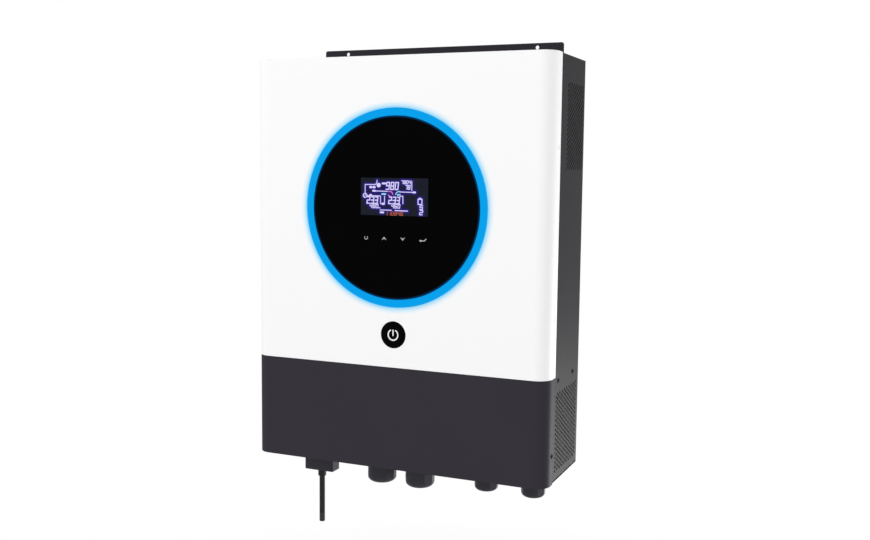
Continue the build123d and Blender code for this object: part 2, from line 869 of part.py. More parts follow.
def terminal_screws():
    """Clamp screw with its square washer in every pole's pocket."""
    seat_y = block_y[0] + block_depth / 2
    z = (block_low + block_high) / 2
    pieces = []
    for centre, poles in ((ac_x, ac_poles), (pv_x, pv_poles)):
        for pole in range(poles):
            x = centre + (pole - (poles - 1) / 2) * pole_pitch
            washer = block((x - 6, x + 6), (seat_y - 1.2, seat_y), (z - 6, z + 6))
            head = rod_y(x, z, terminal_screw_r, (seat_y - 4, seat_y - 1.2))
            slot = block((x - 5, x + 5), (seat_y - 5, seat_y - 3), (z - 0.5, z + 0.5))
            pieces.append(washer + head - slot)
    return group(pieces)


battery_x = tuple(
    pv_x - pv_poles * pole_pitch / 2 - 10 - battery_block_width * (step + 0.5) - 8 * step
    for step in range(2)
)
battery_z = (block_low + block_high) / 2


def battery_terminals():
    """Two insulating blocks with a threaded stud each."""
    half = battery_block_width / 2
    pieces = []
    for x in battery_x:
        face = -back_t - battery_block_depth
        base = block((x - half, x + half), (face, -back_t), (block_low, block_high))
        base = fillet(base.edges().filter_by(Axis.Y), 3)
        pieces.append(base + rod_y(x, battery_z, stud_terminal_r, (face - 20, face)))
    return group(pieces)


def hex_nut_y(x, z, bore_r, y):
    nut = extrude(RegularPolygon(1.7 * bore_r, 6, major_radius=False), y[1] - y[0])
    nut = Pos(x, y[1], z) * Rot(90, 0, 0) * nut
    return nut - rod_y(x, z, bore_r + seal_fit, (y[0] - 1, y[1] + 1))


def battery_nuts():
    face = -back_t - battery_block_depth
    return group([hex_nut_y(x, battery_z, stud_terminal_r, (face - 7, face)) for x in battery_x])


earth_x = panel_x - 30
earth_r = 3.0


def earth_stud():
    """Threaded stud on the back panel with its nut."""
    stud = rod_y(earth_x, battery_z, earth_r, (-back_t - 22, -back_t))
    return group([stud, hex_nut_y(earth_x, battery_z, earth_r, (-back_t - 5, -back_t))])


def comm_board():
    """Communication ports hanging from the deck on four posts, between the cable slots."""
    half = comm_board_width / 2
    y = (skin_back_y + comm_board_setback, skin_back_y + comm_board_setback + comm_board_depth)
    board_z = (deck_bottom - comm_post_h - board_t, deck_bottom - comm_post_h)
    parts = [block((-half, half), y, board_z)]
    for x in (5 - half, half - 5):
        for post_y in (y[0] + 5, y[1] - 5):
            parts.append(rod_z(x, post_y, 2.5, (board_z[1], deck_bottom)))
    for step, width in enumerate(port_widths):
        x = (step - (len(port_widths) - 1) / 2) * port_pitch
        wide = width / 2
        low = board_z[0] - port_height
        port = block((x - wide, x + wide), (y[0], y[0] + port_depth), (low, board_z[0]))
        port -= block(
            (x - wide + port_wall, x + wide - port_wall),
            (y[0] - 1, y[0] + port_depth - 4 * port_wall),
            (low + port_wall, board_z[0] - port_wall),
        )
        parts.append(port)
    return group(parts)


def power_cables():
    """Insulated wires from the terminal blocks, through the deck, to the power board."""
    start_y = -back_t - block_depth / 2
    low_z = (block_high + deck_bottom) / 2
    high_z = board_low + 10
    end_y = board_front_y - 8
    pieces = []
    for side in (-1, 1):
        for place in cable_x:
            x = side * place
            path = FilletPolyline(
                (x, start_y, block_high),
                (x, start_y, low_z),
                (x, cable_slot_y, low_z),
                (x, cable_slot_y, high_z),
                (x, end_y, high_z),
                radius=cable_bend_r,
            )
            section = Plane(origin=(x, start_y, block_high), z_dir=(0, 0, 1)) * Circle(cable_r)
            pieces.append(sweep(section, path=path))
            pieces.append(on_board(x, high_z, (12, 8, 14)))
    return group(pieces)


# ---- cable glands ----
def gland_body(gland, x):
    """Threaded stub through the plate, hexagonal flange under it and spigot for the nut."""
    thread_r = gland["thread_r"]
    flange_z = (bottom_z - gland["flange"], bottom_z)
    flange = hex_prism(x, gland_y, gland["outer_r"] - grip_depth, flange_z)
    flange &= rod_z(x, gland_y, gland["outer_r"], flange_z)
    spigot_low = bottom_z - gland["drop"] + gland["mouth"] + 4
    body = flange + rod_z(x, gland_y, thread_r, (spigot_low, plate_top + thread_above_plate))
    reach = (spigot_low - 1, plate_top + thread_above_plate + 1)
    return body - rod_z(x, gland_y, thread_r - spigot_wall, reach)


def gland_nut(gland, x):
    """Domed clamping nut with six grip flats."""
    outer_r = gland["outer_r"]
    z = (bottom_z - gland["drop"], bottom_z - gland["flange"] - gland_gap)
    dome = rod_z(x, gland_y, outer_r, z)
    rims = dome.edges().filter_by(GeomType.CIRCLE).group_by(Axis.Z)[0]
    dome = fillet(rims, outer_r * 0.45)
    dome &= hex_prism(x, gland_y, outer_r - grip_depth, z)
    dome -= rod_z(x, gland_y, gland["thread_r"] + clearance, (z[0] + gland["mouth"], z[1] + 1))
    return dome - rod_z(x, gland_y, gland["bore_r"] + clearance, (z[0] - 1, z[1]))


def gland_seal(gland, x):
    """Rubber sleeve that closes on the cable."""
    outer_r = gland["thread_r"] - spigot_wall - seal_fit
    z = (bottom_z - gland["drop"] + gland["mouth"] + clearance, bottom_z - 2)
    return rod_z(x, gland_y, outer_r, z) - rod_z(x, gland_y, gland["bore_r"], (z[0] - 1, z[1] + 1))


def gland_locknut(gland, x):
    z = (plate_top, plate_top + locknut_t)
    nut = hex_prism(x, gland_y, gland["outer_r"] - 2 * grip_depth, z)
    return nut - rod_z(x, gland_y, gland["thread_r"] + seal_fit, (z[0] - 1, z[1] + 1))


def all_glands():
    """Node number, size and place of every gland."""
    for kind, gland, places in (("large", large_gland, large_gland_x), ("small", small_gland, small_gland_x)):
        for number, x in enumerate(places, 1):
            yield f"{kind}_gland", number, gland, x


# ---- wireless module ----
def wifi_plug(grow, z):
    """The module's plug, or with grow the opening it passes through."""
    half_x, half_y = 9.0 + grow, 4.5 + grow
    return block((wifi_x - half_x, wifi_x + half_x), (wifi_y - half_y, wifi_y + half_y), z)


def wifi_module():
    x = (wifi_x - wifi_width / 2, wifi_x + wifi_width / 2)
    y = (wifi_y - wifi_depth / 2, wifi_y + wifi_depth / 2)
    low = bottom_z - wifi_height
    body = block(x, y, (low, bottom_z))
    body = fillet(body.edges().filter_by(Axis.Z), 2)
    body = chamfer(body.edges().group_by(Axis.Z)[0], 0.8)
    body += wifi_plug(0, (bottom_z, plate_top + 8))
    return body - rod_z(wifi_x, wifi_y, antenna_stub_r + shaft_fit, (low - 1, low + antenna_stub_h + 1))


def antenna():
    """Rod antenna with a tapered collar; its stub turns in the module's socket."""
    top = bottom_z - wifi_height - clearance
    low = top - antenna_length
    taper_z = top - antenna_collar_h
    body = rod_z(wifi_x, wifi_y, antenna_r, (low, top))
    body = fillet(body.edges().filter_by(GeomType.CIRCLE).group_by(Axis.Z)[0], 1)
    body += rod_z(wifi_x, wifi_y, antenna_collar_r, (taper_z, top))
    taper = Cone(antenna_r, antenna_collar_r, antenna_taper_h)
    body += Pos(wifi_x, wifi_y, taper_z - antenna_taper_h / 2) * taper
    return body + rod_z(wifi_x, wifi_y, antenna_stub_r, (top, top + clearance + antenna_stub_h))


def build():
    """Every node's name and shape."""
    nodes = {
        maker.__name__: maker()
        for maker in (
            back_panel, top_panel, gland_plate, front_cover, lower_cover, divider_deck,
            front_cover_screws, lower_cover_screws, deck_screws,
            light_ring, display_glass, display_housing, led_board, lcd_module, key_board,
            display_board, display_fasteners, display_ribbon,
            power_button, button_bezel, button_spring, power_switch, fan_screws,
            power_transistors, power_board, board_standoffs, board_screws, control_board,
            bus_capacitors, inductors, transformer, relays,
            ac_terminal_block, pv_terminal_block, terminal_screws, battery_terminals,
            battery_nuts, earth_stud, comm_board, power_cables, wifi_module, antenna,
        )
    }
    for name, side in (("left", -1), ("right", 1)):
        nodes[f"{name}_side_panel"] = side_panel(side)
        nodes[f"heat_sink_{name}"] = heat_sink(side)
    for number, x in enumerate(fan_x, 1):
        nodes[f"fan_frame_{number}"] = fan_frame(x)
        nodes[f"fan_rotor_{number}"] = fan_rotor(x)
    glands = list(all_glands())
    for kind, number, gland, x in glands:
        nodes[f"{kind}_nut_{number}"] = gland_nut(gland, x)
    for kind in ("large", "small"):
        nodes[f"{kind}_gland_bodies"] = group(
            [gland_body(gland, x) for name, _, gland, x in glands if name.startswith(kind)]
        )
    nodes["gland_seals"] = group([gland_seal(gland, x) for _, _, gland, x in glands])
    nodes["gland_locknuts"] = group([gland_locknut(gland, x) for _, _, gland, x in glands])
    return nodes


os.makedirs("parts", exist_ok=True)
for node, shape in build().items():
    export_step(shape, f"parts/{node}.step")
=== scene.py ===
import json
import math

import bmesh
import bpy
import numpy as np
from mathutils import Matrix, Vector


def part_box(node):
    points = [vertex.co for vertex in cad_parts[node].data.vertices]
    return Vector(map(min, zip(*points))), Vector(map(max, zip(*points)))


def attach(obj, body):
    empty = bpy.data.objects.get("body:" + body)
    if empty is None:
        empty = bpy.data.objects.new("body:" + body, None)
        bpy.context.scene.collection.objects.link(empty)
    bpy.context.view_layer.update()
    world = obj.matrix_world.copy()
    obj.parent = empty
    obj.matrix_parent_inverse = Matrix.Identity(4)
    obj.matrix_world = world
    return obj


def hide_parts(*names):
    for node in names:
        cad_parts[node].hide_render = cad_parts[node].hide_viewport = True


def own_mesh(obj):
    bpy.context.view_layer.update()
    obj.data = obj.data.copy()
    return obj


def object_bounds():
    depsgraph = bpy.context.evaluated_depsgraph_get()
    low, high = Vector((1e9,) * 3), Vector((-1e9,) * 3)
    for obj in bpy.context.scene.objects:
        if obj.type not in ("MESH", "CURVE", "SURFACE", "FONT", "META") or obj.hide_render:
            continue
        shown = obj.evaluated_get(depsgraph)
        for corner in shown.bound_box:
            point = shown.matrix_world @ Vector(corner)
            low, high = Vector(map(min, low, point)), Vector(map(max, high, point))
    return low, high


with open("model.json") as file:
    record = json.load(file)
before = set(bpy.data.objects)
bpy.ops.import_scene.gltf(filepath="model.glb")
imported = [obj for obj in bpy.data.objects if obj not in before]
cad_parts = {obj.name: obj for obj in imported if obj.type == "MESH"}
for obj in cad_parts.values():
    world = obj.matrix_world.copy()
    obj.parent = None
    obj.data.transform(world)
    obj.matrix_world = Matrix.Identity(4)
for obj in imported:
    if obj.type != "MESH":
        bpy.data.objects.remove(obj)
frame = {"nodes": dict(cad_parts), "record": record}
cad_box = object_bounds()

MM = 0.001
nodes = frame["nodes"]
slot_of = {part["node"]: part["material_slot"] for part in frame["record"]["subparts"]}


# ---- places taken from the frame ----
def centre_of(node):
    low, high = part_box(node)
    return (low + high) / 2


def radius_of(node):
    low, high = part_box(node)
    return (high.x - low.x) / 2


case_low = Vector((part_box("front_cover")[0].x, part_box("front_cover")[0].y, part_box("lower_cover")[0].z))
case_high = Vector((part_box("front_cover")[1].x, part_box("back_panel")[1].y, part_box("front_cover")[1].z))
ring_centre = centre_of("light_ring")
ring_r = radius_of("light_ring")
glass_r = radius_of("display_glass")
glass_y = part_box("display_glass")[0].y
button_centre = centre_of("power_button")
button_r = radius_of("power_button")
button_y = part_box("power_button")[0].y


# ---- camera ----
CAMERA_PLACE = (0.585, -1.3695, -0.1645)
CAMERA_YAW = 23.25
CAMERA_DOWN = 5.74
CAMERA_ROLL = 0.62
CAMERA_LENS = 42.42


def make_camera():
    data = bpy.data.cameras.new("camera")
    data.lens = CAMERA_LENS
    data.sensor_width = 36.0
    camera = bpy.data.objects.new("camera", data)
    turn = Matrix.Rotation(math.radians(CAMERA_YAW), 4, "Z")
    tilt = Matrix.Rotation(math.radians(90 - CAMERA_DOWN), 4, "X")
    roll = Matrix.Rotation(math.radians(CAMERA_ROLL), 4, "Z")
    camera.matrix_world = Matrix.Translation(CAMERA_PLACE) @ turn @ tilt @ roll
    bpy.context.scene.collection.objects.link(camera)
    bpy.context.scene.camera = camera


# ---- material helpers ----
class Nodes:
    """Small wrapper that adds and links shader nodes."""

    def __init__(self, name):
        self.material = bpy.data.materials.new(name)
        self.material.use_nodes = True
        self.tree = self.material.node_tree
        self.shader = self.tree.nodes["Principled BSDF"]

    def add(self, kind, inputs=None, **settings):
        node = self.tree.nodes.new(kind)
        for key, value in settings.items():
            setattr(node, key, value)
        for key, value in (inputs or {}).items():
            if isinstance(value, bpy.types.NodeSocket):
                self.tree.links.new(value, node.inputs[key])
            else:
                node.inputs[key].default_value = value
        return node

    def link(self, source, target):
        self.tree.links.new(source, target)

    def place(self):
        """Object coordinates, in metres."""
        return self.add("ShaderNodeTexCoord").outputs["Object"]

    def noise(self, scale, detail=3.0):
        inputs = {"Vector": self.place(), "Scale": scale, "Detail": detail}
        return self.add("ShaderNodeTexNoise", inputs).outputs["Fac"]

    def ramp(self, value, low, high, start=0.0, end=1.0):
        inputs = {"Value": value, "From Min": start, "From Max": end, "To Min": low, "To Max": high}
        return self.add("ShaderNodeMapRange", inputs).outputs["Result"]

    def power(self, value, exponent):
        return self.add("ShaderNodeMath", {0: value, 1: exponent}, operation="POWER").outputs[0]

    def mix(self, factor, first, second):
        node = self.add("ShaderNodeMix", data_type="RGBA")
        for socket, value in ((0, factor), (6, first), (7, second)):
            if isinstance(value, bpy.types.NodeSocket):
                self.link(value, node.inputs[socket])
            else:
                node.inputs[socket].default_value = value
        return node.outputs[2]

    def from_ring(self):
        """Distance from the ring's axis, in metres."""
        flat = self.add("ShaderNodeVectorMath", {0: self.place(), 1: (1.0, 0.0, 1.0)}, operation="MULTIPLY")
        centre = (ring_centre.x, 0.0, ring_centre.z)
        away = self.add("ShaderNodeVectorMath", {0: flat.outputs[0], 1: centre}, operation="DISTANCE")
        return away.outputs["Value"]

    def bump(self, height, distance):
        node = self.add("ShaderNodeBump", {"Height": height, "Distance": distance})
        self.link(node.outputs["Normal"], self.shader.inputs["Normal"])

    def set(self, specular=None, **values):
        if specular is not None:
            self.shader.inputs["Specular IOR Level"].default_value = specular
        for key, value in values.items():
            self.shader.inputs[key.replace("_", " ")].default_value = value


def srgb(red, green, blue):
    """Linear colour of an 8-bit display colour."""

    def linear(value):
        value /= 255
        return value / 12.92 if value <= 0.04045 else ((value + 0.055) / 1.055) ** 2.4

    return (linear(red), linear(green), linear(blue), 1.0)


def shade(colour, factor):
    return tuple(channel * factor for channel in colour[:3]) + (1.0,)


def grained_nodes(
    name, colour, rough=(0.45, 0.55), grain=900.0, depth=0.00004, tint=0.08, metallic=0.0, specular=0.5
):
    """Painted, moulded or cast surface: fine grain, slight colour and gloss variation."""
    n = Nodes(name)
    fine = n.noise(grain, 2.0)
    broad = n.noise(9.0, 3.0)
    n.link(n.mix(broad, shade(colour, 1 - tint), shade(colour, 1 + tint)), n.shader.inputs["Base Color"])
    n.link(n.ramp(fine, rough[0], rough[1], 0.3, 0.7), n.shader.inputs["Roughness"])
    n.bump(fine, depth)
    n.set(specular, Metallic=metallic)
    return n


def grained(name, *look):
    return grained_nodes(name, *look).material


def glowing(name, colour, body=(0.0, 0.0, 0.0, 1.0), variation=0.04):
    """Lit surface with a slight unevenness."""
    n = Nodes(name)
    soft = n.noise(60.0, 2.0)
    glow = n.mix(soft, shade(colour, 1 - variation), shade(colour, 1 + variation))
    n.link(glow, n.shader.inputs["Emission Color"])
    n.set(0.02, Emission_Strength=1.0, Base_Color=body, Roughness=0.35)
    return n.material


HALO_REACH = 10.5 * MM


def white_paint():
    """White powder coat, with the ring's light spilling on to it."""
    n = Nodes("white_paint")
    fine = n.noise(1400.0, 2.0)
    broad = n.noise(6.0, 2.0)
    paint = n.mix(broad, srgb(250, 250, 251), srgb(252, 252, 253))
    fall = n.ramp(n.from_ring(), 1.0, 0.0, ring_r, ring_r + HALO_REACH)
    n.link(n.mix(n.power(fall, 1.7), paint, srgb(110, 213, 252)), n.shader.inputs["Base Color"])
    n.link(n.ramp(fine, 0.5, 0.58, 0.3, 0.7), n.shader.inputs["Roughness"])
    n.bump(fine, 0.00002)
    n.set(0.3)
    return n.material


def black_glass():
    """Black-backed glass; the ring's light shows in its edge."""
    n = Nodes("black_glass")
    smear = n.noise(14.0, 4.0)
    n.link(n.ramp(smear, 0.04, 0.08), n.shader.inputs["Roughness"])
    n.link(n.mix(smear, srgb(0, 0, 1), srgb(2, 2, 3)), n.shader.inputs["Base Color"])
    edge = n.ramp(n.from_ring(), 0.0, 1.0, glass_r - 3.5 * MM, glass_r)
    glow = n.mix(n.power(edge, 2.0), (0.0, 0.0, 0.0, 1.0), srgb(1, 70, 120))
    n.link(glow, n.shader.inputs["Emission Color"])
    n.set(0.02, Emission_Strength=1.0)
    return n.material


def circuit_board():
    """Green solder mask with the faint weave of the laminate and traces under it."""
    n = grained_nodes("circuit_board", srgb(14, 74, 44), (0.3, 0.42), 500.0, 0.00002, 0.15)
    brick = n.add("ShaderNodeTexBrick", {"Vector": n.place(), "Scale": 90.0, "Mortar Size": 0.02})
    brick.inputs["Color1"].default_value = srgb(14, 74, 44)
    brick.inputs["Color2"].default_value = srgb(18, 84, 50)
    brick.inputs["Mortar"].default_value = srgb(40, 110, 66)
    n.link(brick.outputs["Color"], n.shader.inputs["Base Color"])
    return n.material


def copper_winding():
    """Turns of enamelled wire round the toroid."""
    n = grained_nodes("copper_winding", srgb(176, 92, 40), (0.25, 0.35), 200.0, 0.00002, 0.1, 0.8)
    wave = n.add("ShaderNodeTexWave", {"Vector": n.place(), "Scale": 160.0}, wave_type="BANDS")
    n.bump(wave.outputs["Fac"], 0.0008)
    return n.material


def antenna_plastic():
    """The module's plastic; the rod's last few millimetres are greyer."""
    n = grained_nodes("antenna_plastic", srgb(34, 33, 37), (0.4, 0.5), 1200.0, 0.00003, 0.08, 0.0, 0.15)
    height = n.add("ShaderNodeSeparateXYZ", {0: n.place()}).outputs["Z"]
    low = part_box("antenna")[0].z
    cap = n.ramp(height, 1.0, 0.0, low + 13.0 * MM, low + 13.4 * MM)
    n.link(n.mix(cap, srgb(34, 33, 37), srgb(50, 51, 52)), n.shader.inputs["Base Color"])
    return n.material


def lcd_face():
    """Dark LCD whose backlight shows violet round the lit segments, from the mesh's glow attribute."""
    n = Nodes("lcd_face")
    glow = n.add("ShaderNodeAttribute", attribute_name="glow").outputs["Color"]
    level = n.add("ShaderNodeSeparateColor", {0: glow}).outputs[0]
    haze = n.mix(n.noise(90.0, 2.0), srgb(20, 23, 34), srgb(28, 31, 44))
    n.link(n.mix(level, haze, srgb(46, 30, 140)), n.shader.inputs["Emission Color"])
    n.set(0.05, Emission_Strength=1.0, Base_Color=(0.0, 0.0, 0.0, 1.0), Roughness=0.2)
    return n.material


# slot: colour, roughness range, grain scale, grain depth, tint, metallic, specular level
GRAINED = {
    "dark_paint": (srgb(54, 52, 58), (0.45, 0.55), 1300.0, 0.00003, 0.04, 0.0, 0.02),
    "black_screw": (srgb(14, 14, 15), (0.5, 0.6), 900.0, 0.00002, 0.1, 0.0, 0.02),
    "plated_steel": (srgb(170, 172, 175), (0.25, 0.4), 500.0, 0.00002, 0.06, 1.0),
    "lcd_panel": (srgb(28, 32, 41), (0.15, 0.25), 300.0, 0.00001),
    "black_plastic": (srgb(3, 3, 3), (0.35, 0.45), 1500.0, 0.00002, 0.1, 0.0, 0.02),
    "ribbon_grey": (srgb(150, 150, 152), (0.4, 0.5), 400.0, 0.00002),
    "fan_plastic": (srgb(22, 22, 23), (0.35, 0.5), 900.0, 0.00003),
    "bare_aluminium": (srgb(196, 198, 200), (0.28, 0.4), 300.0, 0.00002, 0.05, 1.0),
    "capacitor_can": (srgb(24, 26, 44), (0.2, 0.3), 200.0, 0.00001),
    "semiconductor": (srgb(24, 24, 25), (0.5, 0.6), 1500.0, 0.00002),
    "ferrite": (srgb(60, 60, 62), (0.55, 0.7), 700.0, 0.00005),
    "terminal_plastic": (srgb(26, 26, 28), (0.4, 0.5), 900.0, 0.00002),
    "brass_stud": (srgb(196, 164, 96), (0.2, 0.35), 400.0, 0.00002, 0.06, 1.0),
    "insulator_red": (srgb(150, 24, 22), (0.35, 0.45), 700.0, 0.00002),
    "cable_insulation": (srgb(24, 24, 25), (0.4, 0.55), 600.0, 0.00003),
    "gland_nylon": (srgb(56, 54, 60), (0.4, 0.5), 1100.0, 0.00003, 0.06, 0.0, 0.12),
    "seal_rubber": (srgb(16, 16, 17), (0.6, 0.75), 800.0, 0.00004, 0.1, 0.0, 0.2),
    "module_plastic": (srgb(56, 54, 60), (0.4, 0.5), 1200.0, 0.00003, 0.06, 0.0, 0.1),
}


def make_materials():
    """One material for each slot of the record."""
    made = {
        "white_paint": white_paint(),
        "lit_ring": glowing("lit_ring", srgb(4, 160, 236)),
        "black_glass": black_glass(),
        "circuit_board": circuit_board(),
        "copper_winding": copper_winding(),
    }
    for name, look in GRAINED.items():
        made[name] = grained(name, *look)
    return made


materials = make_materials()
# The side panels take a darker copy of the case's dark paint: the darker level is painted shade on the
# sides.
side_paint_shaded = grained("side_paint_shaded", srgb(47, 47, 49), (0.45, 0.55), 1300.0, 0.00003, 0.04, 0.0, 0.02)
# The gland plate's near-black copy of the case paint is painted shade: the shadow line along the case's
# bottom edge.
plate_painted_shadow = grained("plate_painted_shadow", srgb(10, 10, 11), (0.5, 0.6), 1300.0, 0.00003, 0.04, 0.0, 0.0)
lit_white = glowing("lit_white", srgb(222, 214, 255), variation=0.06)
lit_cyan = glowing("lit_cyan", srgb(150, 225, 240))
lit_pink = glowing("lit_pink", srgb(226, 120, 190))
lit_orange = glowing("lit_orange", srgb(176, 88, 66), variation=0.12)
icon_grey = glowing("icon_grey", srgb(176, 176, 176))
symbol_white = glowing("symbol_white", srgb(244, 244, 244))


# ---- shared mesh helpers ----
def add_piece(name, mesh, material, body, stands_for=()):
    """Object of the model that rides on a CAD body."""
    piece = bpy.data.objects.new(name, mesh)
    mesh.materials.clear()
    mesh.materials.append(material)
    bpy.context.scene.collection.objects.link(piece)
    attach(piece, body)
    if stands_for:
        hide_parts(*stands_for)
    return piece


def smooth(mesh, angle):
    """Shades curved faces smooth and keeps edges sharper than angle, in degrees."""
    mesh.polygons.foreach_set("use_smooth", [True] * len(mesh.polygons))
    mesh.set_sharp_from_angle(angle=math.radians(angle))


SHARP_EDGE = 40        # degrees; edges sharper than this are rounded


def refined(node, body, bevel):
    """Stands for a CAD node: the same shape with every sharp edge rounded by bevel metres."""
    work = bmesh.new()
    work.from_mesh(nodes[node].data)
    bmesh.ops.remove_doubles(work, verts=work.verts, dist=1e-6)
    bmesh.ops.dissolve_limit(work, angle_limit=math.radians(0.4), verts=work.verts, edges=work.edges)
    folds = [edge for edge in work.edges if len(edge.link_faces) == 2]
    sharp = [edge for edge in folds if edge.calc_face_angle() > math.radians(SHARP_EDGE)]
    bmesh.ops.bevel(
        work, geom=sharp, offset=bevel, segments=3, profile=0.5, affect="EDGES", clamp_overlap=True
    )
    mesh = bpy.data.meshes.new(node + "_fine")
    work.to_mesh(mesh)
    work.free()
    smooth(mesh, 32)
    slot = slot_of[node]
    piece = add_piece(node + "_fine", mesh, materials[slot], body, [node])
    even = piece.modifiers.new("even_shading", "WEIGHTED_NORMAL")
    even.keep_sharp = True


def lathe(profile, centre, axis, steps=192):
    """Surface of revolution round axis (a unit vector) through centre; profile is (radius, height) pairs."""
    side = Vector((1, 0, 0)) if abs(axis.x) < 0.5 else Vector((0, 0, 1))
    other = axis.cross(side)
    points, faces = [], []
    for radius, height in profile:
        for step in range(steps):
            turn = 2 * math.pi * step / steps
            points.append(centre + axis * height + (side * math.cos(turn) + other * math.sin(turn)) * radius)
    for row in range(len(profile) - 1):
        for step in range(steps):
            after = (step + 1) % steps
            near, far = row * steps, (row + 1) * steps
            faces.append((near + step, near + after, far + after, far + step))
    mesh = bpy.data.meshes.new("lathe")
    mesh.from_pydata(points, [], faces)
    work = bmesh.new()
    work.from_mesh(mesh)
    bmesh.ops.remove_doubles(work, verts=work.verts, dist=1e-7)
    bmesh.ops.dissolve_degenerate(work, edges=work.edges, dist=1e-7)
    bmesh.ops.recalc_face_normals(work, faces=work.faces)
    work.to_mesh(mesh)
    work.free()
    return mesh


def islands(node):
    """Corners of the box round each separate solid of a CAD node."""
    work = bmesh.new()
    work.from_mesh(nodes[node].data)
    bmesh.ops.remove_doubles(work, verts=work.verts, dist=1e-6)
    seen, boxes = set(), []
    for start in work.verts:
        if start in seen:
            continue
        seen.add(start)
        queue, places = [start], []
        while queue:
            vertex = queue.pop()
            places.append(vertex.co.copy())
            for edge in vertex.link_edges:
                other = edge.other_vert(vertex)
                if other not in seen:
                    seen.add(other)
                    queue.append(other)
        low = Vector([min(place[axis] for place in places) for axis in range(3)])
        high = Vector([max(place[axis] for place in places) for axis in range(3)])
        boxes.append((low, high))
    work.free()
    return boxes


# ---- screws in the case's sides ----
HEAD_H = 1.2 * MM
SHANK_R = 1.45 * MM
POINT = 1.5 * MM              # length of the screw's tip
RECESS = (0.45, 1.7)          # half width and half length of one bar of the cross, in mm
RECESS_DEPTH = 0.9 * MM


def box_mesh(work, low, high):
    corners = bmesh.ops.create_cube(work, size=1.0)["verts"]
    for vertex in corners:
        vertex.co = Vector([low[i] + (vertex.co[i] + 0.5) * (high[i] - low[i]) for i in range(3)])


def side_screw(low, high):
    """Pan-head screw with a cross recess; its axis is X and its head points away from the case."""
    out = 1.0 if low.x + high.x > 0 else -1.0
    tip, face = (low.x, high.x) if out > 0 else (high.x, low.x)
    head_r = (high.z - low.z) / 2
    long = abs(face - tip)
    turns = [math.radians(angle) for angle in range(0, 91, 10)]
    dome = [(head_r * math.sin(t), 0.45 * HEAD_H * (1 - math.cos(t))) for t in turns]
    profile = dome + [(head_r, HEAD_H), (SHANK_R, HEAD_H), (SHANK_R, long - POINT), (0.0, long)]
    centre = Vector((face, (low.y + high.y) / 2, (low.z + high.z) / 2))
    body = bpy.data.objects.new("screw", lathe(profile, centre, Vector((-out, 0, 0)), 48))
    cross = bmesh.new()
    depth = sorted((face + out * MM, face - out * RECESS_DEPTH))
    for wide, tall in (RECESS, RECESS[::-1]):
        box_mesh(
            cross, (depth[0], centre.y - wide * MM, centre.z - tall * MM),
            (depth[1], centre.y + wide * MM, centre.z + tall * MM),
        )
    cutter = bpy.data.objects.new("cutter", bpy.data.meshes.new("cutter"))
    cross.to_mesh(cutter.data)
    cross.free()
    for piece in (body, cutter):
        bpy.context.scene.collection.objects.link(piece)
    cut = body.modifiers.new("recess", "BOOLEAN")
    cut.object = cutter
    cut.operation = "DIFFERENCE"
    cut.solver = "EXACT"
    cut.use_self = True
    mesh = bpy.data.meshes.new_from_object(body.evaluated_get(bpy.context.evaluated_depsgraph_get()))
    for piece in (body, cutter):
        bpy.data.objects.remove(piece)
    return mesh


def screws(node):
    """All screws of one CAD node, joined into one piece."""
    work = bmesh.new()
    for low, high in islands(node):
        work.from_mesh(side_screw(low, high))
    mesh = bpy.data.meshes.new(node + "_fine")
    work.to_mesh(mesh)
    work.free()
    smooth(mesh, 35)
    add_piece(node + "_fine", mesh, materials[slot_of[node]], "root", [node])


# ---- flat graphics on the glass and the button ----
DIGIT_SLANT = 0.12


